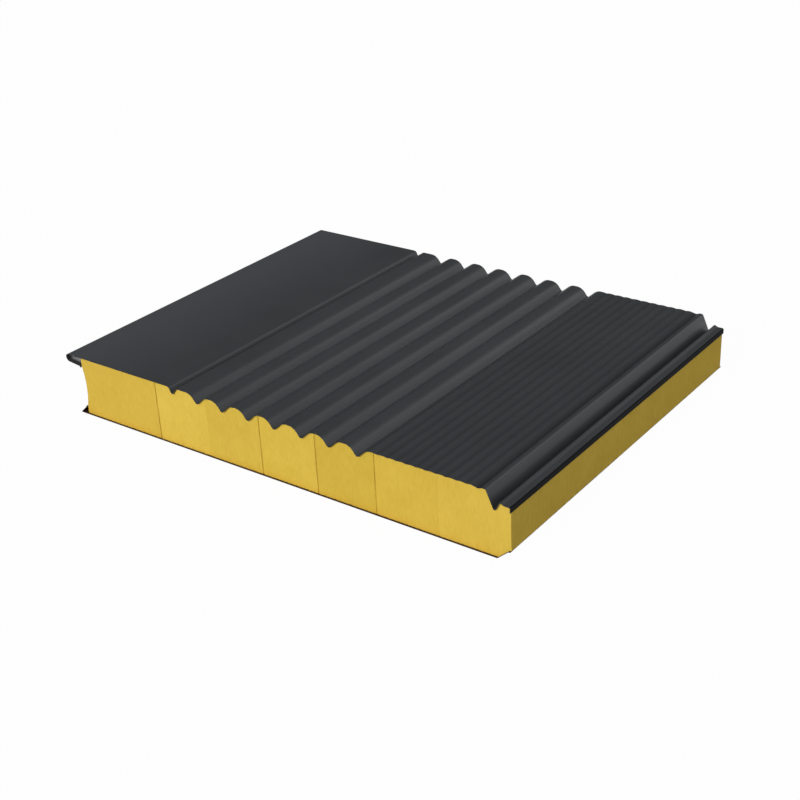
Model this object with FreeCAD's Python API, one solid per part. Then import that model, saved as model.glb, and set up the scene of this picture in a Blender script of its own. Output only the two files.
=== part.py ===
import FreeCAD, Part

import math
import os

# Insulated sandwich panel for walls: two roll-formed steel facings bonded to a core of wool
# lamellae that stand on edge. The panel lies flat with its outer facing up.
# X runs across the panel from the tongue edge to the recessed edge, Y along the ribs, Z up.
# The section is drawn with x = 0 at the tip of the tongue and z = 0 under the inner facing,
# and every piece is moved at the end so that the origin is under the middle of the panel.
# All sizes are in millimetres.

# Whole panel
cover_width = 1000.0
panel_length = 800.0
panel_thickness = 125.0
outer_sheet = 0.7
inner_sheet = 0.6

# Gaps between this panel and the next one, edge to edge and tongue over lip
joint_gap = 2.0
joint_clearance = 0.8

# Tongue edge of the outer facing, a hollow fold that covers the next panel's screws
tongue_projection = 38.0
tongue_root_height = 106.0
tongue_tip_depth = 15.0
nose_upper_radius = 6.5
nose_flat = 0.5
tongue_flange = 3.0
fold_radius = 2.0

# Waves in the middle of the outer facing, each with a wall that falls and a gentler one that rises
wave_count = 8
wave_pitch = 62.5
wave_depth = 18.0
wave_near_wall = 15.0
wave_far_wall = 21.0
first_wave_place = 253.0
valley_radius = 4.5
shoulder_radius = 22.0

# The first wave is narrower and shallower than the rest, and falls steeply from the plain flat
first_wave_depth = 13.5
first_wave_near_wall = 8.0
first_wave_far_wall = 10.0
first_valley_radius = 3.0
first_shoulder_radius = 8.0

# Fine ribs beside the waves: shallow grooves, and beside the recess a deeper one that rises steeply
rib_pitch = 20.0
rib_width = 14.0
rib_depth = 1.1
rib_radius = 8.0
first_rib_offset = 22.5
last_rib_near_wall = 13.0
last_rib_far_wall = 7.5
last_rib_depth = 2.8
last_rib_radius = 1.5
last_rib_land = 7.0

# Recessed edge of the outer facing, where the screws go. Its ridge stands over the level lip
edge_reveal = 10.0
edge_radius = 4.0
recess_floor_place = 6.0
recess_depth = 34.0
recess_radius = 2.5
ridge_place = 15.5
ridge_width = 8.0
ridge_radius = 3.0
ridge_foot_radius = 4.0
lip_drop = 1.0
lip_corner_radius = 3.0
lip_flange = 11.0

# Inner facing: a hollow hook at the tongue edge and a step at the recessed edge
hook_projection = 18.0
hook_height = 15.5
hook_flange = 2.0
hook_radius = 1.5
step_height = 19.0
step_foot_place = 25.5
step_head_place = 4.0
step_radius = 3.0

# Core: strips of wool stood on edge, side by side. The strips between the first and the last are
# of one width, and share what those two leave
lamella_count = 7
first_lamella_width = 204.0
last_lamella_width = 144.0
core_foot_projection = 1.0
core_hollow = 5.0

# Worked out from the sizes above
core_left = tongue_projection
core_foot = core_left - core_foot_projection
panel_right = tongue_projection + cover_width - joint_gap
overall_width = panel_right
core_right = panel_right - outer_sheet
recess_shoulder = cover_width - edge_reveal
ribbed_start = core_left + first_wave_place + (wave_count - 1) * wave_pitch + wave_far_wall
first_rib = ribbed_start + first_rib_offset
last_rib = recess_shoulder - last_rib_land - last_rib_far_wall
ribbed_end = last_rib - last_rib_near_wall - rib_width / 2
rib_count = 1 + int((ribbed_end - first_rib) / rib_pitch)
strip_width = (core_right - core_left - first_lamella_width - last_lamella_width) / (lamella_count - 2)


def straight(start, end):
    """A straight edge between two points, each given as (x, z)."""
    return Part.makeLine(FreeCAD.Vector(start[0], 0, start[1]), FreeCAD.Vector(end[0], 0, end[1]))


def round_corner(before, corner, after, radius):
    """Where a round of this radius leaves its first side, its middle, and where it joins its second side."""
    ax, az = before[0] - corner[0], before[1] - corner[1]
    bx, bz = after[0] - corner[0], after[1] - corner[1]
    a_length, b_length = math.hypot(ax, az), math.hypot(bx, bz)
    ax, az, bx, bz = ax / a_length, az / a_length, bx / b_length, bz / b_length
    half_angle = math.acos(max(-1.0, min(1.0, ax * bx + az * bz))) / 2
    reach = radius / math.tan(half_angle)
    mx, mz = ax + bx, az + bz
    m_length = math.hypot(mx, mz)
    to_middle = radius / math.sin(half_angle) - radius
    start = (corner[0] + ax * reach, corner[1] + az * reach)
    middle = (corner[0] + mx / m_length * to_middle, corner[1] + mz / m_length * to_middle)
    end = (corner[0] + bx * reach, corner[1] + bz * reach)
    return start, middle, end


def rounded_edges(corners):
    """Edges of an open outline of (x, z, radius) corners, with tangent arcs at the rounded ones."""
    edges = []
    place = corners[0][:2]
    for i in range(1, len(corners) - 1):
        corner, radius = corners[i][:2], corners[i][2]
        if radius <= 0:
            edges.append(straight(place, corner))
            place = corner
            continue
        start, middle, end = round_corner(corners[i - 1][:2], corner, corners[i + 1][:2], radius)
        edges.append(straight(place, start))
        points = [FreeCAD.Vector(p[0], 0, p[1]) for p in (start, middle, end)]
        edges.append(Part.Arc(*points).toShape())
        place = end
    edges.append(straight(place, corners[-1][:2]))
    return edges


def inside_of(corners, gauge):
    """The same bent line on the other side of a sheet of this gauge, to the right of its travel."""
    sides = []
    for (x0, z0, _), (x1, z1, _) in zip(corners, corners[1:]):
        length = math.hypot(x1 - x0, z1 - z0)
        nx, nz = (z1 - z0) / length * gauge, -(x1 - x0) / length * gauge
        sides.append((x0 + nx, z0 + nz, x1 - x0, z1 - z0))
    moved = [(sides[0][0], sides[0][1], 0.0)]
    for i in range(1, len(sides)):
        ax, az, adx, adz = sides[i - 1]
        bx, bz, bdx, bdz = sides[i]
        turn = adx * bdz - adz * bdx
        along = ((bx - ax) * bdz - (bz - az) * bdx) / turn
        radius = corners[i][2]
        if radius > 0:
            radius += gauge if turn > 0 else -gauge
        moved.append((ax + adx * along, az + adz * along, radius))
    last = sides[-1]
    moved.append((last[0] + last[2], last[1] + last[3], 0.0))
    return moved


def sheet_face(corners, gauge):
    """The cut face of a bent sheet whose skin side follows the corners."""
    skin, back = rounded_edges(corners), rounded_edges(inside_of(corners, gauge))
    ends = [straight(corners[0][:2], inside_of(corners, gauge)[0][:2]),
            straight(corners[-1][:2], inside_of(corners, gauge)[-1][:2])]
    return Part.Face(Part.Wire(Part.__sortEdges__(skin + back + ends)))


def tongue_underside(x):
    """Height of the tongue's lower side at x, which the next panel's lip runs parallel to."""
    tip_height = panel_thickness - tongue_tip_depth
    root = core_left - outer_sheet
    return tip_height + (tongue_root_height - tip_height) * x / root


def corner_depth(depth, near_slope, far_slope, radius):
    """Depth or height of the sharp corner whose round of this radius reaches just this one, between slopes."""
    lean = (near_slope - far_slope) / 2
    opening = (near_slope + far_slope) / 2
    return depth + radius * (math.cos(lean) / math.cos(opening) - 1)


def nose_lower_radius():
    """Radius of the nose's lower round, which takes what the upper one leaves of the nose's height."""
    root = core_left - outer_sheet
    rise = math.atan2(tongue_root_height - tongue_underside(0.0), root)
    half_angle = (math.pi / 2 - rise) / 2
    return (tongue_tip_depth - nose_upper_radius - nose_flat) * math.tan(half_angle)


def tongue_corners():
    """Flange against the core, underside, and round nose of the tongue."""
    root = core_left - outer_sheet
    return [(root, tongue_root_height - tongue_flange, 0.0),
            (root, tongue_root_height, fold_radius),
            (0.0, tongue_underside(0.0), nose_lower_radius()),
            (0.0, panel_thickness, nose_upper_radius)]


def wave(valley, wanted_depth, near_wall, far_wall, shoulder, bottom):
    """One wave: its near shoulder, its valley and its far shoulder, with the rounds of the first two."""
    near_slope, far_slope = math.atan2(wanted_depth, near_wall), math.atan2(wanted_depth, far_wall)
    depth = corner_depth(wanted_depth, near_slope, far_slope, bottom)
    return [(valley - near_wall, panel_thickness, shoulder),
            (valley, panel_thickness - depth, bottom),
            (valley + far_wall, panel_thickness, min(shoulder_radius, far_wall))]


def wave_corners():
    """Shoulders and valleys of the waves, the narrow first one and then the rest."""
    first_valley = core_left + first_wave_place
    corners = wave(first_valley, first_wave_depth, first_wave_near_wall, first_wave_far_wall,
                   first_shoulder_radius, first_valley_radius)
    for i in range(1, wave_count):
        corners += wave(first_valley + i * wave_pitch, wave_depth, wave_near_wall, wave_far_wall,
                        shoulder_radius, valley_radius)
    return corners


def groove(bottom, near_wall, far_wall, depth, radius):
    """One groove of the ribbed flat: its two edges and its bottom, with their round."""
    return [(bottom - near_wall, panel_thickness, radius),
            (bottom, panel_thickness - depth, radius),
            (bottom + far_wall, panel_thickness, radius)]


def rib_corners():
    """Edges and bottoms of the grooves on the finely ribbed flat."""
    corners = []
    for i in range(rib_count):
        corners += groove(first_rib + i * rib_pitch, rib_width / 2, rib_width / 2, rib_depth, rib_radius)
    return corners + groove(last_rib, last_rib_near_wall, last_rib_far_wall, last_rib_depth, last_rib_radius)


def recess_corners():
    """Slope down to the screw recess, ridge, lip and the edge turned down over the core."""
    floor = cover_width + recess_floor_place
    ridge = cover_width + ridge_place
    ridge_height = tongue_underside(ridge_place) - joint_clearance
    lip_height = tongue_underside(panel_right - cover_width) - joint_clearance - lip_drop
    near_slope = math.atan2(recess_depth, floor - recess_shoulder)
    far_slope = math.atan2(ridge_height - panel_thickness + recess_depth, ridge - floor)
    ridge_fall = math.atan2(ridge_height - lip_height, ridge_width)
    depth = corner_depth(recess_depth, near_slope, far_slope, recess_radius)
    return [(recess_shoulder, panel_thickness, edge_radius),
            (floor, panel_thickness - depth, recess_radius),
            (ridge, corner_depth(ridge_height, far_slope, ridge_fall, ridge_radius), ridge_radius),
            (ridge + ridge_width, lip_height, ridge_foot_radius),
            (panel_right, lip_height, lip_corner_radius),
            (panel_right, lip_height - lip_flange, 0.0)]


def outer_corners():
    """The skin side of the outer facing, from the tongue's flange to the lip's edge."""
    return tongue_corners() + wave_corners() + rib_corners() + recess_corners()


def inner_corners():
    """The skin side of the inner facing, from its edge at the step to the flange of its hook."""
    foot = core_foot - inner_sheet
    return [(core_right, step_height, 0.0),
            (panel_right - step_head_place, step_height, step_radius),
            (panel_right - step_foot_place, 0.0, step_radius),
            (core_foot - hook_projection, 0.0, hook_radius),
            (foot, hook_height, fold_radius),
            (foot, hook_height + hook_flange, 0.0)]


def core_face():
    """The core's cut face: under the outer facing, over the inner one, hollowed at the tongue edge."""
    top = inside_of(outer_corners(), outer_sheet)
    first, last = 4, len(top) - 1
    upper = [(core_left, top[0][1], 0.0), (core_left, panel_thickness - outer_sheet, 0.0)]
    upper += top[first:last] + [(core_right, top[last][1], 0.0)]
    bottom = inside_of(inner_corners(), inner_sheet)
    lower = [(core_right, bottom[0][1], 0.0)] + bottom[1:3]
    lower += [(core_foot, inner_sheet, 0.0), (core_foot, hook_height + hook_flange, 0.0)]
    outline = rounded_edges(upper + lower)
    hollow_top = FreeCAD.Vector(core_left, 0, top[0][1])
    hollow_foot = FreeCAD.Vector(core_foot, 0, hook_height + hook_flange)
    hollow_middle = (hollow_top + hollow_foot) * 0.5 + FreeCAD.Vector(core_hollow, 0, 0)
    outline.append(Part.Arc(hollow_foot, hollow_middle, hollow_top).toShape())
    return Part.Face(Part.Wire(Part.__sortEdges__(outline)))


def along_panel(face):
    """A face of the section drawn out over the panel's length, with the origin under its middle."""
    solid = face.extrude(FreeCAD.Vector(0, panel_length, 0))
    solid.translate(FreeCAD.Vector(-overall_width / 2, -panel_length / 2, 0))
    return solid


def lamella_edges():
    """Places of the joints between the lamellae, with the core's two sides at the ends."""
    first_joint = core_left + first_lamella_width
    joints = [first_joint + i * strip_width for i in range(lamella_count - 1)]
    return [core_foot] + joints + [core_right]


def lamella_face(left, right):
    """The part of the core's cut face between two joints."""
    window = Part.makePlane(right - left, panel_thickness, FreeCAD.Vector(left, 0, 0),
                            FreeCAD.Vector(0, -1, 0), FreeCAD.Vector(1, 0, 0))
    return core_face().common(window).Faces[0]


def write_node(shape, name):
    """Checks one piece and writes it to its own file."""
    if not shape.isValid() or len(shape.Solids) != 1:
        raise ValueError(name + " is not one valid solid")
    shape.exportStep("parts/" + name + ".step")
    print(name, "volume", round(shape.Volume / 1000.0, 1), "cm3")


os.makedirs("parts", exist_ok=True)
write_node(along_panel(sheet_face(outer_corners(), outer_sheet)), "outer_facing")
write_node(along_panel(sheet_face(inner_corners(), inner_sheet)), "inner_facing")
edges = lamella_edges()
for number, (left, right) in enumerate(zip(edges, edges[1:]), start=1):
    write_node(along_panel(lamella_face(left, right)), "core_lamella_" + str(number))
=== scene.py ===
import logging
import math
from collections.abc import Callable, Iterable
from dataclasses import dataclass, field
from enum import Enum, IntEnum

import bmesh
import bpy
from mathutils import Matrix, Vector, noise


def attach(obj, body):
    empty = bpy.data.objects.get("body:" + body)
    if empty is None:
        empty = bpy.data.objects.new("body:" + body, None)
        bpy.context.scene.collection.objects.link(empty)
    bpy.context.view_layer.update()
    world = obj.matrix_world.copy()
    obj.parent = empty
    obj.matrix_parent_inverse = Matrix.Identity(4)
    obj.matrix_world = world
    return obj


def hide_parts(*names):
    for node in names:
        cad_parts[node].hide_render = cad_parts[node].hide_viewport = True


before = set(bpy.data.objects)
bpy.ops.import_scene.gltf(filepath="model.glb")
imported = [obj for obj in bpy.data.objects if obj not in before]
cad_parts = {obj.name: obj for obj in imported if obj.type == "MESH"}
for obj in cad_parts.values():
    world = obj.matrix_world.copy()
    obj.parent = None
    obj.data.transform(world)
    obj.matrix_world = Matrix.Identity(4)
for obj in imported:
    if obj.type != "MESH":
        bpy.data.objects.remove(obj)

# Insulated sandwich panel: two roll-formed steel facings on a core of wool strips stood on edge.
# Sizes are in millimetres of the panel's section, x from the tip of the tongue and z from the
# underside, as in the part's source. Everything is turned into metres of the row frame as it is drawn.
# The next panel's tongue would start at COVER_WIDTH. Two places nearer than TOUCH, in metres, are one.

LOG = logging.getLogger("panel")
MM = 0.001
COVER_WIDTH = 1000.0
PANEL_LENGTH = 800.0
PANEL_THICKNESS = 125.0
JOINT_GAP = 2.0
JOINT_CLEARANCE = 0.8
OUTER_GAUGE = 0.7
INNER_GAUGE = 0.6
TONGUE = 38.0
PANEL_RIGHT = TONGUE + COVER_WIDTH - JOINT_GAP
CORE_FOOT = TONGUE - 1.0
CORE_RIGHT = PANEL_RIGHT - OUTER_GAUGE
TOUCH = 1e-5
BODY = "root"

Pair = tuple[float, float]
Triple = tuple[float, float, float]
Colour = Triple
Stops = tuple[tuple[float, Colour], ...]
Mesh = bpy.types.Object
Socket = bpy.types.NodeSocket


class Slot(Enum):
    """The record's material slots."""

    OUTER = "outer_paint"
    INNER = "inner_paint"
    WOOL = "wool"


class Side(Enum):
    """Which of a core strip's sides is left open to the air."""

    NONE = "none"
    LEFT = "left"
    RIGHT = "right"


class Layer(IntEnum):
    """The finishes of a sheet, in the order of its material slots."""

    SKIN = 0
    BACKING = 1
    RIM = 2
    SEAL = 3


class MixSocket(IntEnum):
    """A colour mix's inputs and its output, by number, as its sockets share their names."""

    SHARE = 0
    FIRST = 6
    SECOND = 7
    COLOUR = 2


def deselect_all() -> None:
    """Leaves nothing selected, so that an operator acts on the next piece alone."""
    if bpy.context.mode != "OBJECT":
        bpy.ops.object.mode_set(mode="OBJECT")
    bpy.ops.object.select_all(action="DESELECT")


def pick(piece: Mesh) -> None:
    """Makes one piece the only selected and the active one.

    Args:
        piece: The piece to work on next.
    """
    deselect_all()
    piece.select_set(True)
    bpy.context.view_layer.objects.active = piece


def select_points(piece: Mesh, wanted: Callable[[Vector], bool]) -> None:
    """Selects the points of a piece in edit mode by their place.

    Args:
        piece: The piece, in edit mode with point selection.
        wanted: Says of a place, in metres of the row frame, whether its point is selected.
    """
    bpy.ops.mesh.select_all(action="DESELECT")
    cage = bmesh.from_edit_mesh(piece.data)
    for point in cage.verts:
        point.select = wanted(point.co)
    cage.select_flush(True)
    bmesh.update_edit_mesh(piece.data)


def apply_modifier(piece: Mesh, kind: str, **settings: object) -> None:
    """Adds a modifier to a piece, sets it and applies it.

    Args:
        piece: The piece that the modifier shapes.
        kind: The modifier's type, such as SOLIDIFY.
        settings: The modifier's settings by name.
    """
    pick(piece)
    modifier = piece.modifiers.new(kind.title(), kind)
    for name, value in settings.items():
        setattr(modifier, name, value)
    bpy.ops.object.modifier_apply(modifier=modifier.name)


def row_place(x: float, z: float, y: float = 0.0) -> Vector:
    """A place of the section, in millimetres, as a place of the row frame in metres."""
    return Vector(((x - PANEL_RIGHT / 2) * MM, y * MM, z * MM))


def row_x(x: float) -> float:
    """A place across the section, in millimetres, on the row frame's X in metres."""
    return row_place(x, 0.0).x


@dataclass(frozen=True)
class Bend:
    """A corner of a sheet's outline, and the radius that it is bent to."""

    x: float
    z: float
    radius: float = 0.0

    def place(self) -> Vector:
        """The corner on the panel's front end, in metres of the row frame."""
        return row_place(self.x, self.z, -PANEL_LENGTH / 2)

    def opening(self, before: "Bend", after: "Bend") -> float:
        """Angle between the two runs that meet here.

        Args:
            before: The corner before this one.
            after: The corner after it.

        Returns:
            The angle in radians, which is pi where the line runs straight on.
        """
        back = Vector((before.x - self.x, before.z - self.z))
        ahead = Vector((after.x - self.x, after.z - self.z))
        return back.angle(ahead)


class Nodes:
    """A tree of shader nodes, with short ways to add and join them."""

    def __init__(self, tree: bpy.types.NodeTree) -> None:
        """Takes up the tree of a material or of the world."""
        self.tree = tree

    def add(self, kind: str, inputs: dict[str | int, object], **settings: object) -> bpy.types.Node:
        """Adds a node.

        Args:
            kind: The node's type.
            inputs: A value or another node's output for each input that is set.
            settings: The node's settings by name.

        Returns:
            The new node.
        """
        node = self.tree.nodes.new(kind)
        for name, value in settings.items():
            setattr(node, name, value)
        for name, value in inputs.items():
            self.feed(node.inputs[name], value)
        return node

    def feed(self, socket: Socket, value: object) -> None:
        """Joins an input to another node's output, or else gives it a value.

        Args:
            socket: The input.
            value: The other node's output, or the value.
        """
        if isinstance(value, Socket):
            self.tree.links.new(value, socket)
        else:
            socket.default_value = value

    def along(self, axis: str, space: str = "Object") -> Socket:
        """The place on one axis: in metres on the row frame's, or of another space."""
        place = self.add("ShaderNodeTexCoord", {}).outputs[space]
        return self.add("ShaderNodeSeparateXYZ", {"Vector": place}).outputs[axis]

    def calculate(self, operation: str, *values: Socket | float) -> Socket:
        """The outcome of a sum or a comparison of values."""
        return self.add("ShaderNodeMath", dict(enumerate(values)), operation=operation).outputs[0]

    def grain(self, size: Triple, detail: float = 3.0, rough: float = 0.55, shift: float = 0.0) -> Socket:
        """A noise whose lumps have a given size along each axis.

        Args:
            size: The lumps' size along x, y and z, in millimetres.
            detail: How many finer layers the noise has.
            rough: How strong the finer layers are.
            shift: Moves the noise, so that two pieces differ.

        Returns:
            The noise's output, from 0 to 1.
        """
        place = self.add("ShaderNodeTexCoord", {}).outputs["Object"]
        scale = tuple(1.0 / (MM * lump) for lump in size)
        place = self.add("ShaderNodeMapping", {"Vector": place, "Scale": scale,
                                               "Location": (shift,) * 3}).outputs[0]
        return self.add("ShaderNodeTexNoise", {"Vector": place, "Scale": 1.0, "Detail": detail,
                                               "Roughness": rough}).outputs["Fac"]

    def ramp(self, value: Socket, stops: Stops) -> Socket:
        """Colours that follow a value.

        Args:
            value: The value that is looked up.
            stops: Each stop's place, from 0 to 1, and its colour.

        Returns:
            The colour's output.
        """
        node = self.add("ShaderNodeValToRGB", {"Fac": value})
        elements = node.color_ramp.elements
        while len(elements) < len(stops):
            elements.new(0.5)
        for element, (place, colour) in zip(elements, stops):
            element.position = place
            element.color = (*colour, 1.0)
        return node.outputs["Color"]

    def spread(self, value: Socket, low: float, high: float, from_low: float = 0.3,
               from_high: float = 0.7) -> Socket:
        """A value stretched from its own range to another.

        Args:
            value: The value to stretch.
            low: What the bottom of its range becomes.
            high: What the top of its range becomes.
            from_low: The bottom of its range.
            from_high: The top of its range.

        Returns:
            The stretched value's output.
        """
        return self.add("ShaderNodeMapRange", {"Value": value, "From Min": from_low, "From Max": from_high,
                                               "To Min": low, "To Max": high}).outputs["Result"]

    def mix(self, share: Socket | float, first: Socket | Colour, second: Socket | Colour,
            blend: str = "MIX") -> Socket:
        """A mix of two colours.

        Args:
            share: How much of the second colour is taken.
            first: The first colour.
            second: The second colour.
            blend: How they are mixed.

        Returns:
            The mixed colour's output.
        """
        first, second = (tone if isinstance(tone, Socket) else (*tone, 1.0) for tone in (first, second))
        inputs = {MixSocket.SHARE: share, MixSocket.FIRST: first, MixSocket.SECOND: second}
        node = self.add("ShaderNodeMix", inputs, data_type="RGBA", blend_type=blend)
        return node.outputs[MixSocket.COLOUR]

    def tint(self, colour: Socket | Colour, *tones: Socket | Colour) -> Socket:
        """A colour with other tones laid over it, one after the other.

        Args:
            colour: The colour that is tinted.
            tones: The tones that it is multiplied by.

        Returns:
            The tinted colour's output.
        """
        for tone in tones:
            colour = self.mix(1.0, colour, tone, "MULTIPLY")
        return colour


class MaterialNodes(Nodes):
    """The nodes of one material under construction."""

    def __init__(self, name: str) -> None:
        """Starts a material that has only its shader.

        Args:
            name: The material's name.
        """
        self.material = bpy.data.materials.new(name)
        self.material.use_nodes = True
        super().__init__(self.material.node_tree)
        self.shader = self.tree.nodes["Principled BSDF"]

    def height(self, *layers: tuple[Socket, float]) -> None:
        """Gives the surface a fine relief.

        Args:
            layers: Each layer's height, from 0 to 1, and its depth in millimetres.
        """
        normal = None
        for value, depth in layers:
            inputs = {"Height": value, "Strength": 1.0, "Distance": depth * MM}
            if normal is not None:
                inputs["Normal"] = normal
            normal = self.add("ShaderNodeBump", inputs).outputs["Normal"]
        self.tree.links.new(normal, self.shader.inputs["Normal"])

    def set(self, **inputs: object) -> None:
        """Sets the shader's inputs, named with underscores for spaces."""
        for name, value in inputs.items():
            self.feed(self.shader.inputs[name.replace("_", " ")], value)


@dataclass(frozen=True)
class CoilPaint:
    """Matt coil coating on steel: fine peel, faint roll marks along it, a painted sheen beside the tongue
    and painted shade in the grooves of the ribbed flat.
    """

    name: str
    colour: Colour
    darker: Colour
    painted_sheen: Colour
    roughness: float
    shine: float = 0.5
    sheen_start: float = 40.0
    sheen_end: float = 230.0
    groove_shade: float = 0.0
    groove_shade_depth: float = 2.8
    groove_shade_start: float = 750.0
    groove_shade_end: float = 983.0
    peel_size: float = 1.6
    peel_depth: float = 0.012
    mark_size: Triple = (5.0, 900.0, 5.0)
    mark_tones: Stops = ((0.3, (0.93, 0.93, 0.93)), (0.7, (1.0, 1.0, 1.0)))
    mark_roughness: Pair = (-0.04, 0.05)
    cloud_size: float = 140.0

    def make(self) -> bpy.types.Material:
        """Makes the material.

        Returns:
            The finished material.
        """
        nodes = MaterialNodes(self.name)
        marks = nodes.grain(self.mark_size)
        clouds = nodes.grain((self.cloud_size,) * 3, detail=2.0)
        peel = nodes.grain((self.peel_size,) * 3, detail=2.0)
        tone = nodes.mix(nodes.spread(clouds, 0.0, 1.0), self.colour, self.darker)
        # Painted sheen: the paint is lighter beside the tongue and fades out across the plain flat towards
        # the first wave.
        sheen_share = nodes.spread(nodes.along("X"), 1.0, 0.0, row_x(self.sheen_start), row_x(self.sheen_end))
        tone = nodes.mix(sheen_share, tone, self.painted_sheen)
        if self.groove_shade > 0.0:
            tone = self.paint_groove_shade(nodes, tone)
        smooth, rough = (self.roughness + change for change in self.mark_roughness)
        nodes.set(Base_Color=nodes.tint(tone, nodes.ramp(marks, self.mark_tones)),
                  Roughness=nodes.spread(marks, smooth, rough), Specular_IOR_Level=self.shine)
        nodes.height((peel, self.peel_depth))
        return nodes.material

    def paint_groove_shade(self, nodes: MaterialNodes, tone: Socket) -> Socket:
        """Paints shade into the grooves of the ribbed flat, darker the deeper they lie.

        Args:
            nodes: The material.
            tone: The paint's colour before the painted shade.

        Returns:
            The paint's colour with the painted shade.
        """
        # Painted shade: the paint darkens towards black with depth, between the last wave and the screw
        # recess.
        bottom, top = (PANEL_THICKNESS - self.groove_shade_depth) * MM, PANEL_THICKNESS * MM
        depth = nodes.spread(nodes.along("Z"), self.groove_shade, 0.0, bottom, top)
        across = nodes.along("X")
        after = nodes.calculate("GREATER_THAN", across, row_x(self.groove_shade_start))
        before = nodes.calculate("LESS_THAN", across, row_x(self.groove_shade_end))
        share = nodes.calculate("MULTIPLY", depth, nodes.calculate("MULTIPLY", after, before))
        return nodes.mix(share, tone, (0.0, 0.0, 0.0))


@dataclass(frozen=True)
class BackingCoat:
    """Thin backing coat on the sheet's core side, mottled by glue, with painted shade near the sawn ends.
    """

    name: str
    colour: Colour
    stain: Colour
    painted_end_shade: Colour
    roughness: float = 0.6
    end_shade_full: float = 9.0
    end_shade_reach: float = 15.0
    spot_size: Triple = (9.0, 24.0, 9.0)
    stain_end: float = 0.35
    clean_start: float = 0.6
    peel_size: float = 1.5
    peel_depth: float = 0.015

    def make(self) -> bpy.types.Material:
        """Makes the material.

        Returns:
            The finished material.
        """
        nodes = MaterialNodes(self.name)
        spots = nodes.grain(self.spot_size, detail=4.0)
        peel = nodes.grain((self.peel_size,) * 3, detail=2.0)
        coat = nodes.ramp(spots, ((self.stain_end, self.stain), (self.clean_start, self.colour)))
        # Painted shade: the coat darkens over the last 15 mm before each sawn end.
        from_middle = nodes.calculate("ABSOLUTE", nodes.along("Y"))
        end = PANEL_LENGTH / 2.0
        near = nodes.spread(from_middle, 0.0, 1.0,
                            (end - self.end_shade_reach) * MM, (end - self.end_shade_full) * MM)
        nodes.set(Base_Color=nodes.mix(near, coat, self.painted_end_shade), Roughness=self.roughness)
        nodes.height((peel, self.peel_depth))
        return nodes.material


@dataclass(frozen=True)
class CutEdge:
    """Cut end of the coated sheet: near-black dull steel, a little lighter at its burrs."""

    name: str
    colour: Colour
    bright: Colour
    roughness: float = 0.5
    metal: float = 0.3
    burr_size: float = 2.5
    burr_depth: float = 0.03
    dull_end: float = 0.45
    bright_start: float = 0.75

    def make(self) -> bpy.types.Material:
        """Makes the material.

        Returns:
            The finished material.
        """
        nodes = MaterialNodes(self.name)
        burrs = nodes.grain((self.burr_size,) * 3)
        steel = nodes.ramp(burrs, ((self.dull_end, self.colour), (self.bright_start, self.bright)))
        nodes.set(Base_Color=steel, Roughness=self.roughness, Metallic=self.metal)
        nodes.height((burrs, self.burr_depth))
        return nodes.material


@dataclass(frozen=True)
class SawnWool:
    """Sawn face of bonded wool: upright fibres, soft clumps, and darker binder near the inner facing."""

    name: str
    tone: Colour
    shift: float
    fibre_size: Triple = (0.9, 0.9, 14.0)
    fibre_depth: float = 0.3
    fibre_tones: Stops = ((0.3, (0.93, 0.91, 0.87)), (0.5, (1.0, 1.0, 1.0)), (0.72, (1.03, 1.04, 1.1)))
    clump_size: Triple = (7.0, 7.0, 15.4)
    clump_depth: float = 0.7
    clump_tones: Stops = ((0.3, (0.97, 0.96, 0.94)), (0.65, (1.015, 1.015, 1.03)))
    cloud_size: float = 55.0
    cloud_tones: Stops = ((0.3, (0.97, 0.955, 0.92)), (0.7, (1.02, 1.02, 1.05)))
    glue_band: float = 16.0
    glue: Colour = (1.02, 0.93, 0.80)
    roughness: float = 0.95
    shine: float = 0.15

    def make(self) -> bpy.types.Material:
        """Makes the material.

        Returns:
            The finished material.
        """
        nodes = MaterialNodes(self.name)
        fibres = nodes.grain(self.fibre_size, detail=4.0, rough=0.6, shift=self.shift)
        clumps = nodes.grain(self.clump_size, shift=self.shift)
        clouds = nodes.grain((self.cloud_size,) * 3, detail=2.0, rough=0.5, shift=self.shift)
        colour = nodes.tint(self.tone, nodes.ramp(fibres, self.fibre_tones),
                            nodes.ramp(clumps, self.clump_tones), nodes.ramp(clouds, self.cloud_tones))
        band = nodes.spread(nodes.along("Z"), 1.0, 0.0, 0.0, self.glue_band * MM)
        colour = nodes.mix(band, colour, nodes.tint(colour, self.glue))
        nodes.set(Base_Color=colour, Roughness=self.roughness, Specular_IOR_Level=self.shine)
        nodes.height((clumps, self.clump_depth), (fibres, self.fibre_depth))
        return nodes.material


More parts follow.
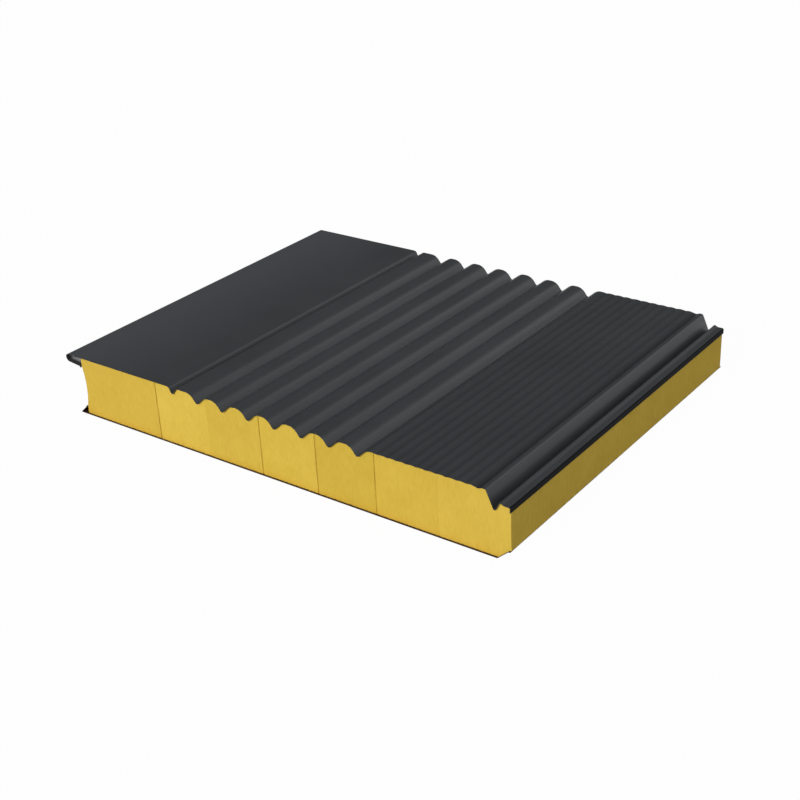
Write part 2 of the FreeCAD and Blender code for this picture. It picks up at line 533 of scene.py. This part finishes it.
@dataclass
class RolledSheet:
    """A steel sheet bent to a section, drawn as one line and stretched along the panel."""

    name: str
    node: str
    slot: Slot
    gauge: float
    paint: CoilPaint
    backing: BackingCoat
    edge: CutEdge
    strips: int = 40
    chord_error: float = 0.02
    sharp_angle: float = 40.0

    def bends(self) -> list[Bend]:
        """The corners of the skin side, in order."""
        raise NotImplementedError

    def draw_line(self) -> Mesh:
        """Draws the skin's outline on the panel's front end, corner by corner.

        Returns:
            The line, still in edit mode.
        """
        bends = self.bends()
        deselect_all()
        bpy.ops.mesh.primitive_plane_add(size=PANEL_THICKNESS * MM)
        piece = bpy.context.object
        piece.name = piece.data.name = self.name
        bpy.ops.object.mode_set(mode="EDIT")
        bpy.ops.mesh.select_mode(type="VERT")
        bpy.ops.mesh.select_all(action="SELECT")
        bpy.ops.mesh.merge(type="CENTER")
        bpy.ops.transform.translate(value=bends[0].place())
        for start, end in zip(bends, bends[1:]):
            bpy.ops.mesh.extrude_region_move(TRANSFORM_OT_translate={"value": end.place() - start.place()})
        for before, bend, after in zip(bends, bends[1:], bends[2:]):
            if bend.radius > 0.0:
                self.round_bend(piece, bend, bend.opening(before, after))
        return piece

    def round_bend(self, piece: Mesh, bend: Bend, opening: float) -> None:
        """Rounds one corner of the line.

        Args:
            piece: The line, in edit mode.
            bend: The corner.
            opening: The angle between the runs that meet there.
        """
        corner = bend.place()
        select_points(piece, lambda place: (place - corner).length < TOUCH)
        turn = math.pi - opening
        step = 2.0 * math.acos(1.0 - self.chord_error / bend.radius)
        bpy.ops.mesh.bevel(offset_type="OFFSET", offset=bend.radius * MM / math.tan(opening / 2.0),
                           segments=max(2, math.ceil(turn / step)), profile=0.5, affect="VERTICES")

    def build(self) -> Mesh:
        """Draws the sheet, gives it its gauge and its finishes, and hands it to the frame.

        Returns:
            The finished sheet.
        """
        piece = self.draw_line()
        self.divide_line(piece)
        bpy.ops.mesh.select_all(action="SELECT")
        for _ in range(self.strips):
            step = (0.0, PANEL_LENGTH * MM / self.strips, 0.0)
            bpy.ops.mesh.extrude_region_move(TRANSFORM_OT_translate={"value": step})
        bpy.ops.mesh.select_all(action="SELECT")
        bpy.ops.mesh.normals_make_consistent(inside=False)
        if not self.faces_out(piece):
            bpy.ops.mesh.flip_normals()
        deselect_all()
        self.loosen(piece)
        for finish in (self.paint, self.backing, self.edge):
            piece.data.materials.append(finish.make())
        apply_modifier(piece, "SOLIDIFY", thickness=self.gauge * MM, offset=-1.0,
                       use_even_offset=True, use_quality_normals=True,
                       material_offset=Layer.BACKING, material_offset_rim=Layer.RIM)
        self.touch_up(piece)
        pick(piece)
        bpy.ops.object.shade_smooth_by_angle(angle=math.radians(self.sharp_angle))
        apply_modifier(piece, "WEIGHTED_NORMAL", keep_sharp=True)
        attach(piece, BODY)
        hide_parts(self.node)
        return piece

    def divide_line(self, piece: Mesh) -> None:
        """Divides the wide runs of the line. Nothing is divided unless a sheet says so."""

    def loosen(self, piece: Mesh) -> None:
        """Takes the dead flatness from the sheet. Nothing is moved unless a sheet says so."""

    def touch_up(self, piece: Mesh) -> None:
        """Gives single faces another finish. None get one unless a sheet says so."""

    def faces_out(self, piece: Mesh) -> bool:
        """Tells which way the open sheet faces, by its widest face.

        Args:
            piece: The sheet, in edit mode.

        Returns:
            True where that face looks away from the core.
        """
        cage = bmesh.from_edit_mesh(piece.data)
        widest = max(cage.faces, key=lambda face: face.calc_area())
        return widest.normal.z * (widest.calc_center_median().z - PANEL_THICKNESS * MM / 2.0) > 0.0


@dataclass
class OuterFacing(RolledSheet):
    """The weather side: tongue, plain flat, waves, ribbed flat, screw recess and lip."""

    root_height: float = 106.0
    tip_depth: float = 15.0
    nose_radius: float = 6.5
    nose_flat: float = 0.5
    flange: float = 3.0
    fold_radius: float = 2.0
    waves: int = 8
    wave_pitch: float = 62.5
    wave_depth: float = 18.0
    wave_near_wall: float = 15.0
    wave_far_wall: float = 21.0
    valley_radius: float = 4.5
    shoulder_radius: float = 22.0
    first_wave: float = 291.0
    first_depth: float = 13.5
    first_near_wall: float = 8.0
    first_far_wall: float = 10.0
    first_valley_radius: float = 3.0
    first_shoulder_radius: float = 8.0
    rib_pitch: float = 20.0
    rib_width: float = 14.0
    rib_depth: float = 1.1
    rib_radius: float = 8.0
    first_rib_offset: float = 22.5
    last_rib_near_wall: float = 13.0
    last_rib_far_wall: float = 7.5
    last_rib_depth: float = 2.8
    last_rib_radius: float = 1.5
    last_rib_land: float = 7.0
    reveal: float = 10.0
    edge_radius: float = 4.0
    floor_place: float = 6.0
    recess_depth: float = 34.0
    recess_radius: float = 2.5
    ridge_place: float = 15.5
    ridge_width: float = 8.0
    ridge_radius: float = 3.0
    ridge_foot_radius: float = 4.0
    lip_drop: float = 1.0
    lip_radius: float = 3.0
    lip_flange: float = 11.0
    flat_parts: int = 12
    slack: float = 0.18
    slack_size: float = 150.0
    sag: float = 0.3
    edge_shade_facing: float = 0.5
    # Painted shade: the edge turned down under the lip is black.
    edge_shade: CoilPaint = CoilPaint("black_edge_shade", colour=(0.008, 0.008, 0.010),
                                darker=(0.006, 0.006, 0.007), painted_sheen=(0.008, 0.008, 0.010),
                                roughness=0.7, shine=0.08)

    def underside(self, x: float) -> float:
        """Height of the tongue's lower side at x, which the lip runs parallel to."""
        tip = PANEL_THICKNESS - self.tip_depth
        return tip + (self.root_height - tip) * x / (TONGUE - self.gauge)

    def corner_depth(self, depth: float, near: float, far: float, radius: float) -> float:
        """Depth of the sharp corner whose round just reaches a depth, or height of a ridge's.

        Args:
            depth: The depth or height that the round reaches.
            near: Slope of the wall before it, in radians.
            far: Slope of the wall after it.
            radius: The round's radius.

        Returns:
            The corner's depth or height.
        """
        return depth + radius * (math.cos((near - far) / 2) / math.cos((near + far) / 2) - 1)

    def tongue(self) -> list[Bend]:
        """The tongue, folded back under itself to the core.

        Returns:
            Its flange against the core, its underside and its round nose.
        """
        root = TONGUE - self.gauge
        rise = math.atan2(self.root_height - self.underside(0.0), root)
        lower = (self.tip_depth - self.nose_radius - self.nose_flat) * math.tan((math.pi / 2 - rise) / 2)
        return [Bend(root, self.root_height - self.flange), Bend(root, self.root_height, self.fold_radius),
                Bend(0.0, self.underside(0.0), lower), Bend(0.0, PANEL_THICKNESS, self.nose_radius)]

    def wave(self, valley: float, depth: float, near_wall: float, far_wall: float, shoulder: float,
             bottom: float) -> list[Bend]:
        """One wave.

        Args:
            valley: Place of its valley.
            depth: Depth of its valley.
            near_wall: Width of the wall that falls to it.
            far_wall: Width of the wall that rises from it.
            shoulder: Radius of its near shoulder.
            bottom: Radius of its valley.

        Returns:
            Its near shoulder, its valley and its far shoulder.
        """
        near, far = math.atan2(depth, near_wall), math.atan2(depth, far_wall)
        corner = self.corner_depth(depth, near, far, bottom)
        return [Bend(valley - near_wall, PANEL_THICKNESS, shoulder),
                Bend(valley, PANEL_THICKNESS - corner, bottom),
                Bend(valley + far_wall, PANEL_THICKNESS, min(self.shoulder_radius, far_wall))]

    def wave_bends(self) -> list[Bend]:
        """The waves, the narrow first one and then the rest.

        Returns:
            Their shoulders and valleys.
        """
        bends = self.wave(self.first_wave, self.first_depth, self.first_near_wall, self.first_far_wall,
                          self.first_shoulder_radius, self.first_valley_radius)
        for i in range(1, self.waves):
            bends += self.wave(self.first_wave + i * self.wave_pitch, self.wave_depth, self.wave_near_wall,
                               self.wave_far_wall, self.shoulder_radius, self.valley_radius)
        return bends

    def groove(self, bottom: float, near_wall: float, far_wall: float, depth: float,
               radius: float) -> list[Bend]:
        """One groove of the ribbed flat: its two edges and its bottom."""
        return [Bend(bottom - near_wall, PANEL_THICKNESS, radius),
                Bend(bottom, PANEL_THICKNESS - depth, radius),
                Bend(bottom + far_wall, PANEL_THICKNESS, radius)]

    def rib_bends(self) -> list[Bend]:
        """The finely ribbed flat, its shallow grooves and then the deep one.

        Returns:
            The grooves' edges and bottoms.
        """
        last_wave = self.first_wave + (self.waves - 1) * self.wave_pitch
        first = last_wave + self.wave_far_wall + self.first_rib_offset
        last = COVER_WIDTH - self.reveal - self.last_rib_land - self.last_rib_far_wall
        half = self.rib_width / 2
        end = last - self.last_rib_near_wall - half
        bends = []
        for i in range(1 + int((end - first) / self.rib_pitch)):
            bends += self.groove(first + i * self.rib_pitch, half, half, self.rib_depth, self.rib_radius)
        return bends + self.groove(last, self.last_rib_near_wall, self.last_rib_far_wall,
                                   self.last_rib_depth, self.last_rib_radius)

    def recess(self) -> list[Bend]:
        """The screw recess and the male edge that the next panel's tongue covers.

        Returns:
            The slope, the recess's floor, the ridge, the lip, and the edge turned down over the core.
        """
        shoulder = COVER_WIDTH - self.reveal
        floor = COVER_WIDTH + self.floor_place
        ridge = COVER_WIDTH + self.ridge_place
        top = self.underside(self.ridge_place) - JOINT_CLEARANCE
        lip = self.underside(PANEL_RIGHT - COVER_WIDTH) - JOINT_CLEARANCE - self.lip_drop
        near = math.atan2(self.recess_depth, floor - shoulder)
        far = math.atan2(top - PANEL_THICKNESS + self.recess_depth, ridge - floor)
        fall = math.atan2(top - lip, self.ridge_width)
        depth = self.corner_depth(self.recess_depth, near, far, self.recess_radius)
        return [Bend(shoulder, PANEL_THICKNESS, self.edge_radius),
                Bend(floor, PANEL_THICKNESS - depth, self.recess_radius),
                Bend(ridge, self.corner_depth(top, far, fall, self.ridge_radius), self.ridge_radius),
                Bend(ridge + self.ridge_width, lip, self.ridge_foot_radius),
                Bend(PANEL_RIGHT, lip, self.lip_radius), Bend(PANEL_RIGHT, lip - self.lip_flange)]

    def bends(self) -> list[Bend]:
        """The corners of the skin side, from the tongue's flange to the lip's edge."""
        return self.tongue() + self.wave_bends() + self.rib_bends() + self.recess()

    def flat_span(self) -> Pair:
        """Where the plain flat starts and ends, on the row frame's X in metres."""
        return row_x(self.nose_radius), row_x(self.first_wave - self.first_near_wall)

    def divide_line(self, piece: Mesh) -> None:
        """Divides the plain flat, so that it can carry its slack.

        Args:
            piece: The sheet's line, in edit mode.
        """
        left, right = self.flat_span()
        top = PANEL_THICKNESS * MM
        select_points(piece, lambda place: left - TOUCH < place.x < right and place.z > top - TOUCH)
        bpy.ops.mesh.subdivide(number_cuts=self.flat_parts - 1)

    def loosen(self, piece: Mesh) -> None:
        """Lets the plain flat swell and sink a little between its nose and the first wave.

        Args:
            piece: The sheet, still without its gauge.
        """
        left, right = self.flat_span()
        for point in piece.data.vertices:
            if left < point.co.x < right and point.co.z > PANEL_THICKNESS * MM - TOUCH:
                fade = math.sin(math.pi * (point.co.x - left) / (right - left))
                swell = noise.noise(point.co / (self.slack_size * MM))
                point.co.z += self.slack * MM * fade * (swell - self.sag)

    def touch_up(self, piece: Mesh) -> None:
        """Paints the edge that is turned down over the core black, as painted shade.

        Args:
            piece: The sheet with its gauge.
        """
        # Painted shade on the turned-down faces of the lip and its corner.
        piece.data.materials.append(self.edge_shade.make())
        corner = row_x(PANEL_RIGHT - self.lip_radius)
        for face in piece.data.polygons:
            turned_down = face.center.x > corner and face.normal.x > self.edge_shade_facing
            if face.material_index == Layer.SKIN and turned_down:
                face.material_index = Layer.SEAL


@dataclass
class InnerFacing(RolledSheet):
    """The room side: a flat sheet with a hollow hook at the tongue edge and a step at the other."""

    hook: float = 18.0
    hook_height: float = 15.5
    hook_flange: float = 2.0
    hook_radius: float = 1.5
    fold_radius: float = 2.0
    step_height: float = 19.0
    step_foot: float = 25.5
    step_head: float = 4.0
    step_radius: float = 3.0

    def bends(self) -> list[Bend]:
        """The sheet's line, from the edge at the step to the flange of the hook.

        Returns:
            The corners of the skin side, in order.
        """
        foot = CORE_FOOT - self.gauge
        return [Bend(CORE_RIGHT, self.step_height),
                Bend(PANEL_RIGHT - self.step_head, self.step_height, self.step_radius),
                Bend(PANEL_RIGHT - self.step_foot, 0.0, self.step_radius),
                Bend(CORE_FOOT - self.hook, 0.0, self.hook_radius),
                Bend(foot, self.hook_height, self.fold_radius),
                Bend(foot, self.hook_height + self.hook_flange)]


@dataclass
class CoreProfile:
    """Outline of the core: under the outer facing, over the inner one, hollowed at the tongue."""

    outer: OuterFacing
    inner: InnerFacing
    hollow: float = 5.0
    steepest: float = 3.0
    upper: list[Pair] = field(default_factory=list)

    def read_upper(self, sheet: Mesh) -> None:
        """Reads the outer facing's skin along its front end, which the core's top lies under.

        Args:
            sheet: The finished outer facing.
        """
        front = -PANEL_LENGTH / 2 * MM
        skin = {tuple(sheet.data.vertices[i].co) for face in sheet.data.polygons
                if face.material_index in (Layer.SKIN, Layer.SEAL)
                for i in face.vertices if abs(sheet.data.vertices[i].co.y - front) < TOUCH}
        line = sorted((x / MM + PANEL_RIGHT / 2, z / MM) for x, _, z in skin)
        self.upper = [(x, z) for x, z in line if TONGUE / 2 < x < PANEL_RIGHT - TOUCH and
                      (x > TONGUE or z > PANEL_THICKNESS - self.outer.gauge)]

    def top(self, x: float) -> float:
        """Height of the core under the outer facing.

        Args:
            x: Place across the section.

        Returns:
            The skin's height less the sheet's gauge, measured upright.
        """
        for (x0, z0), (x1, z1) in zip(self.upper, self.upper[1:]):
            if x0 <= x <= x1 and x1 > x0:
                slope = (z1 - z0) / (x1 - x0)
                steepness = min(abs(slope), self.steepest)
                return z0 + slope * (x - x0) - self.outer.gauge * math.hypot(1.0, steepness)
        return self.upper[-1][1] - self.outer.gauge

    def bottom(self, x: float) -> float:
        """Height of the core's underside over the inner facing.

        Args:
            x: Place across the section.

        Returns:
            The height, which rises at the step.
        """
        foot, head = PANEL_RIGHT - self.inner.step_foot, PANEL_RIGHT - self.inner.step_head
        share = min(1.0, max(0.0, (x - foot) / (head - foot)))
        return self.inner.gauge + self.inner.step_height * share

    def left(self, z: float) -> float:
        """Place of the core's left side, hollowed between the two flanges.

        Args:
            z: Height in the section.

        Returns:
            The place across the section, on a parabola over a straight line.
        """
        low = self.inner.hook_height + self.inner.hook_flange
        high = self.outer.root_height - self.outer.flange
        share = min(1.0, max(0.0, (z - low) / (high - low)))
        return CORE_FOOT + (TONGUE - CORE_FOOT) * share + self.hollow * 4.0 * share * (1.0 - share)


@dataclass
class WoolStrip:
    """One strip of the core, with sawn ends, soft seams and a long side where it is open."""

    number: int
    left: float
    right: float
    tone: Colour
    seam_left: float
    seam_right: float
    profile: CoreProfile
    open_side: Side = Side.NONE
    cell: float = 2.0
    lip_cell: float = 1.2
    set_back: float = 4.0
    long_cuts: tuple[int, int] = (7, 39)
    relief: float = 0.35
    proud: float = 0.6
    fibre: Pair = (5.0, 42.0)
    clump: Pair = (9.0, 14.0)
    clump_share: float = 0.6
    end_seeds: Pair = (7.0, 5.0)
    side_seeds: Pair = (3.0, 5.0)
    joint_reach: float = 0.05
    seam_swing: float = 0.4
    seam_length: float = 8.0
    sharp_angle: float = 50.0
    noise_step: float = 3.7

    @property
    def name(self) -> str:
        """The strip's CAD node, which it stands for."""
        return f"core_lamella_{self.number}"

    def build(self) -> Mesh:
        """Makes the strip from a grid on its front end, drawn out along the panel.

        Returns:
            The finished strip.
        """
        columns = round((self.right - self.left) / self.cell)
        rows = round(PANEL_THICKNESS / self.cell)
        deselect_all()
        bpy.ops.mesh.primitive_grid_add(x_subdivisions=columns, y_subdivisions=rows, size=1.0)
        piece = bpy.context.object
        piece.name = piece.data.name = self.name + "_wool"
        self.fit_front(piece, columns)
        bpy.ops.object.mode_set(mode="EDIT")
        bpy.ops.mesh.select_all(action="SELECT")
        length = (PANEL_LENGTH - 2.0 * self.set_back) * MM
        bpy.ops.mesh.extrude_region_move(TRANSFORM_OT_translate={"value": (0.0, length, 0.0)})
        bpy.ops.mesh.select_all(action="SELECT")
        bpy.ops.mesh.normals_make_consistent(inside=False)
        if self.open_side is not Side.NONE:
            self.divide_side(piece)
        deselect_all()
        self.roughen(piece)
        self.dress(piece)
        return piece

    def fit_front(self, piece: Mesh, columns: int) -> None:
        """Fits the grid to the strip's place in the section.

        Args:
            piece: The grid, one wide and one high.
            columns: How many columns it has.
        """
        side = piece.vertex_groups.new(name="open_side")
        open_column = {Side.LEFT: 0, Side.RIGHT: columns}.get(self.open_side)
        width = self.right - self.left
        inset = self.lip_cell / width
        for point in piece.data.vertices:
            column = round((point.co.x + 0.5) * columns)
            rise = point.co.y + 0.5
            if column in (0, columns):
                share = column / columns
            else:
                share = inset + (1.0 - 2.0 * inset) * (column - 1) / (columns - 2)
            x = self.left + width * share
            z = self.profile.bottom(x) + (self.profile.top(x) - self.profile.bottom(x)) * rise
            if self.open_side is Side.LEFT:
                x += (self.profile.left(z) - self.left) * (1.0 - share)
            if column == open_column:
                side.add([point.index], 1.0, "REPLACE")
            point.co = row_place(x, z, self.set_back - PANEL_LENGTH / 2)

    def divide_side(self, piece: Mesh) -> None:
        """Divides the open long side, so that it can carry its relief.

        Args:
            piece: The strip, in edit mode.
        """
        bpy.ops.mesh.select_mode(type="EDGE")
        for cuts in self.long_cuts:
            bpy.ops.mesh.select_all(action="DESELECT")
            bpy.ops.object.vertex_group_select()
            cage = bmesh.from_edit_mesh(piece.data)
            for edge in cage.edges:
                along = edge.verts[1].co - edge.verts[0].co
                edge.select = edge.select and abs(along.y) > max(abs(along.x), abs(along.z))
            bmesh.update_edit_mesh(piece.data)
            bpy.ops.mesh.subdivide(number_cuts=cuts)
        bpy.ops.mesh.select_mode(type="VERT")

    def roughen(self, piece: Mesh) -> None:
        """Sinks the sawn faces between their fibres, and further at the strips' seams.

        Args:
            piece: The strip, drawn out along the panel.
        """
        half = (PANEL_LENGTH / 2.0 - self.set_back) * MM
        sides = {point.index for point in piece.data.vertices if point.groups}
        for point in piece.data.vertices:
            x, y, z = point.co / MM
            end = 1.0 if y > 0.0 else -1.0
            if abs(abs(point.co.y) - half) < TOUCH:
                fibres = Vector((x / self.fibre[0], end * self.end_seeds[0], z / self.fibre[1]))
                clumps = Vector((x / self.clump[0], end * self.end_seeds[1], z / self.clump[1]))
                y -= end * self.sink(fibres, clumps)
                y -= end * self.seam_depth(x + PANEL_RIGHT / 2, z)
            if point.index in sides:
                fibres = Vector((self.side_seeds[0], y / self.fibre[0], z / self.fibre[1]))
                clumps = Vector((self.side_seeds[1], y / self.clump[0], z / self.clump[1]))
                x += self.sink(fibres, clumps) * (1.0 if self.open_side is Side.LEFT else -1.0)
            point.co = Vector((x, y, z)) * MM

    def sink(self, fibres: Vector, clumps: Vector) -> float:
        """How far a sawn face lies back where its two noises are read, in millimetres."""
        rough = noise.noise(fibres) + self.clump_share * noise.noise(clumps)
        return self.relief * max(0.0, self.proud + rough)

    def seam_depth(self, x: float, z: float) -> float:
        """How far the sawn face falls back beside a joint.

        Args:
            x: Place across the section.
            z: Height in the section.

        Returns:
            The depth in millimetres.
        """
        depth = 0.0
        for joint, seam in ((self.left, self.seam_left), (self.right, self.seam_right)):
            if abs(x - joint) < self.joint_reach:
                swing = noise.noise(Vector((joint, 0.0, z / self.seam_length)))
                depth += seam * (1.0 + self.seam_swing * swing)
        return depth

    def dress(self, piece: Mesh) -> None:
        """Gives the strip its wool and hands it to the frame.

        Args:
            piece: The strip with its relief.
        """
        wool = SawnWool(f"sawn_wool_{self.number}", self.tone, self.number * self.noise_step)
        piece.data.materials.append(wool.make())
        pick(piece)
        bpy.ops.object.shade_smooth_by_angle(angle=math.radians(self.sharp_angle))
        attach(piece, BODY)
        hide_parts(self.name)


@dataclass
class Core:
    """Seven strips of wool stood on edge between the facings."""

    profile: CoreProfile
    first_width: float = 204.0
    last_width: float = 144.0
    tones: tuple[Colour, ...] = ((0.687, 0.474, 0.065), (0.738, 0.527, 0.078), (0.680, 0.479, 0.065),
                                 (0.702, 0.497, 0.068), (0.651, 0.456, 0.058), (0.687, 0.477, 0.064),
                                 (0.701, 0.491, 0.070))
    seams: tuple[float, ...] = (0.0, 2.4, 0.8, 2.2, 2.4, 1.5, 0.7, 0.0)

    def edges(self) -> list[float]:
        """Where the strips meet.

        Returns:
            Places of the joints across the section, with the core's two sides at the ends.
        """
        count = len(self.tones)
        width = (CORE_RIGHT - TONGUE - self.first_width - self.last_width) / (count - 2)
        first = TONGUE + self.first_width
        return [CORE_FOOT] + [first + i * width for i in range(count - 1)] + [CORE_RIGHT]

    def build(self) -> list[Mesh]:
        """Makes every strip.

        Returns:
            The strips, from the tongue edge to the recessed edge.
        """
        edges = self.edges()
        sides = {1: Side.LEFT, len(self.tones): Side.RIGHT}
        return [WoolStrip(i, edges[i - 1], edges[i], tone, self.seams[i - 1], self.seams[i], self.profile,
                          sides.get(i, Side.NONE)).build() for i, tone in enumerate(self.tones, start=1)]


@dataclass
class Studio:
    """Pale floor, soft light from the front right, and the camera at the photo's angle."""

    floor_size: float = 120.0
    floor_drop: float = 0.0003
    floor_colour: Colour = (0.52, 0.52, 0.52)
    floor_roughness: float = 0.9
    floor_lift: float = 0.98
    key_strength: float = 2.55
    key_softness: float = 30.0
    key_from: Triple = (-0.02, -0.9, 0.5)
    rim_strength: float = 0.58
    rim_softness: float = 50.0
    rim_from: Triple = (0.49, 0.71, 0.41)
    lamp_distance: float = 3.0
    sky: Stops = ((0.512, (1.0, 1.0, 1.0)), (0.518, (0.03, 0.03, 0.033)), (0.6, (0.05, 0.05, 0.053)),
                  (0.68, (0.12, 0.12, 0.127)), (0.78, (0.24, 0.24, 0.25)), (1.0, (0.28, 0.28, 0.29)))
    camera_place: Triple = (1.5319, -1.9998, 1.2767)
    yaw: float = 37.39
    pitch: float = 27.2
    roll: float = -2.88
    focal_pixels: float = 1394.6
    frame_pixels: float = 800.0
    sensor_width: float = 36.0

    def build(self) -> None:
        """Makes the floor, the light and the camera."""
        scene = bpy.context.scene
        scene.view_settings.view_transform = "Standard"
        self.lay_floor()
        self.hang_lamp("key", self.key_strength, self.key_softness, self.key_from)
        self.hang_lamp("rim", self.rim_strength, self.rim_softness, self.rim_from)
        self.light_world(scene)
        self.place_camera(scene)

    def lay_floor(self) -> None:
        """A plain pale floor that keeps the panel's shadow."""
        deselect_all()
        bpy.ops.mesh.primitive_plane_add(size=self.floor_size, location=(0.0, 0.0, -self.floor_drop))
        floor = bpy.context.object
        floor.name = "studio_floor"
        nodes = MaterialNodes("pale_floor")
        nodes.set(Base_Color=(*self.floor_colour, 1.0), Roughness=self.floor_roughness,
                  Specular_IOR_Level=0.0)
        rays = nodes.add("ShaderNodeLightPath", {})
        seen = rays.outputs["Is Camera Ray"]
        for kind in ("Is Glossy Ray", "Is Transmission Ray"):
            seen = nodes.calculate("MAXIMUM", seen, rays.outputs[kind])
        share = nodes.calculate("MULTIPLY", seen, self.floor_lift)
        white = nodes.add("ShaderNodeEmission", {"Color": (1.0, 1.0, 1.0, 1.0), "Strength": 1.0})
        lifted = nodes.add("ShaderNodeMixShader",
                           {0: share, 1: nodes.shader.outputs[0], 2: white.outputs[0]})
        nodes.tree.links.new(lifted.outputs[0], nodes.tree.nodes["Material Output"].inputs["Surface"])
        floor.data.materials.append(nodes.material)

    def hang_lamp(self, name: str, strength: float, softness: float, place: Triple) -> None:
        """A broad, distant lamp.

        Args:
            name: The lamp's name.
            strength: Its strength.
            softness: The angle that it fills, in degrees.
            place: The direction that it shines from.
        """
        deselect_all()
        bpy.ops.object.light_add(type="SUN", location=Vector(place) * self.lamp_distance)
        lamp = bpy.context.object
        lamp.name = name
        lamp.rotation_euler = Vector(place).to_track_quat("Z", "Y").to_euler()
        lamp.data.energy = strength
        lamp.data.angle = math.radians(softness)

    def light_world(self, scene: bpy.types.Scene) -> None:
        """Soft light from all round: a thin white horizon, dark low down and brighter overhead.

        The sky's stops run from straight down, at 0, to straight up, at 1.

        Args:
            scene: The scene that it lights.
        """
        world = bpy.data.worlds.new("studio_world")
        world.use_nodes = True
        scene.world = world
        nodes = Nodes(world.node_tree)
        height = nodes.spread(nodes.along("Z", "Generated"), 0.0, 1.0, -1.0, 1.0)
        nodes.feed(nodes.tree.nodes["Background"].inputs["Color"], nodes.ramp(height, self.sky))

    def place_camera(self, scene: bpy.types.Scene) -> None:
        """Sets the camera where the photo was taken, above the front right corner.

        Args:
            scene: The scene that it looks at.
        """
        yaw, pitch, roll = (math.radians(angle) for angle in (self.yaw, self.pitch, self.roll))
        right = Vector((math.cos(yaw), math.sin(yaw), 0.0))
        level = Vector((math.sin(yaw), -math.cos(yaw), 0.0))
        back = level * math.cos(pitch) + Vector((0.0, 0.0, math.sin(pitch)))
        up = back.cross(right)
        turned_right = right * math.cos(roll) + up * math.sin(roll)
        turned_up = up * math.cos(roll) - right * math.sin(roll)
        turn = Matrix((turned_right, turned_up, back)).transposed().to_4x4()
        bpy.ops.object.camera_add()
        camera = bpy.context.object
        camera.name = "camera"
        camera.matrix_world = Matrix.Translation(self.camera_place) @ turn
        camera.data.sensor_width = self.sensor_width
        camera.data.lens = self.focal_pixels * self.sensor_width / self.frame_pixels
        scene.camera = camera


# The outer paint has painted shade in the ribbed flat's grooves and a painted sheen beside the tongue.
OUTER_PAINT = CoilPaint("anthracite_paint", colour=(0.040, 0.045, 0.048), darker=(0.034, 0.038, 0.041),
                        painted_sheen=(0.060, 0.065, 0.070), roughness=0.4, groove_shade=0.72)
INNER_PAINT = CoilPaint("dark_grey_paint", colour=(0.070, 0.062, 0.058), darker=(0.060, 0.053, 0.050),
                        painted_sheen=(0.070, 0.062, 0.058), roughness=0.5)
# Both backing coats carry painted shade near the sawn ends.
PALE_BACKING = BackingCoat("pale_backing_coat", colour=(0.50, 0.51, 0.50), stain=(0.36, 0.36, 0.34),
                           painted_end_shade=(0.05, 0.05, 0.055))
BROWN_BACKING = BackingCoat("brown_backing_coat", colour=(0.13, 0.034, 0.018),
                            stain=(0.08, 0.022, 0.014), painted_end_shade=(0.035, 0.012, 0.010))
OUTER_EDGE = CutEdge("outer_cut_edge", colour=(0.012, 0.012, 0.016), bright=(0.04, 0.04, 0.045))
INNER_EDGE = CutEdge("inner_cut_edge", colour=(0.022, 0.015, 0.014), bright=(0.05, 0.04, 0.035))


def main() -> None:
    """Builds the panel piece by piece, then the studio around it."""
    logging.basicConfig(level=logging.INFO, format="%(message)s")
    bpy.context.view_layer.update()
    outer = OuterFacing("outer_facing_sheet", "outer_facing", Slot.OUTER, OUTER_GAUGE,
                        OUTER_PAINT, PALE_BACKING, OUTER_EDGE)
    inner = InnerFacing("inner_facing_sheet", "inner_facing", Slot.INNER, INNER_GAUGE,
                        INNER_PAINT, BROWN_BACKING, INNER_EDGE)
    pieces = [outer.build(), inner.build()]
    profile = CoreProfile(outer, inner)
    profile.read_upper(pieces[0])
    pieces += Core(profile).build()
    for piece in pieces:
        LOG.info("%s: %d faces", piece.name, len(piece.data.polygons))
    Studio().build()


if __name__ == "__main__":
    main()
